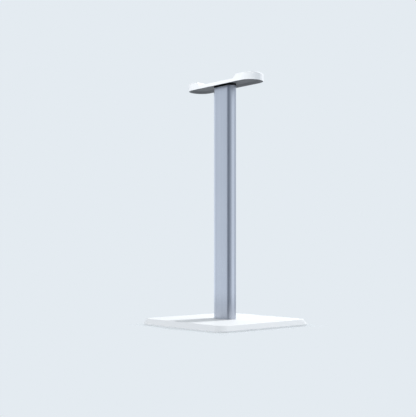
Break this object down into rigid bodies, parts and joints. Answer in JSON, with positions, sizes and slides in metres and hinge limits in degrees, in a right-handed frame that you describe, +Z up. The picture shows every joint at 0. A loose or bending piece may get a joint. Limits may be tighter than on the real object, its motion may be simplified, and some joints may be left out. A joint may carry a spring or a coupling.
{
  "type": "headphone stand",
  "caption": "Desk headphone stand with a weighted square white base, a flat oval aluminium column and a white cradle with a low headband seat between raised lips.",
  "frame": {"origin": "middle of the footprint on the desk, at the underside of the rubber feet", "axes": "+Z up along the column; Y along the cradle, from lip to lip; X across the cradle, the way the headband crosses it; front towards -Y"},
  "size_m": [0.1244, 0.1244, 0.25],
  "materials": {
    "white_plastic": "satin moulded white",
    "anodised_aluminium": "fine satin silver anodising with faint extrusion lines",
    "black_plastic": "matte moulded black",
    "grey_plastic": "fine-textured mid grey",
    "dark_plastic": "spark-textured dark grey",
    "zinc_steel": "zinc-plated plate",
    "screw_steel": "zinc-plated",
    "foot_rubber": "matte black",
    "liner_rubber": "soft matte off-white"
  },
  "bodies": {
    "root": {"base_cover": "white_plastic", "base_weight": "zinc_steel", "base_bottom_cover": "dark_plastic", "base_cover_screws": "screw_steel", "rubber_foot_front_left": "foot_rubber", "rubber_foot_back_left": "foot_rubber", "rubber_foot_front_right": "foot_rubber", "rubber_foot_back_right": "foot_rubber", "column": "anodised_aluminium", "column_foot_screws": "screw_steel", "column_collar": "black_plastic", "cradle_shell": "white_plastic", "cradle_tray": "grey_plastic", "seat_liner": "liner_rubber", "cradle_screws": "screw_steel"}
  },
  "joints": []
}
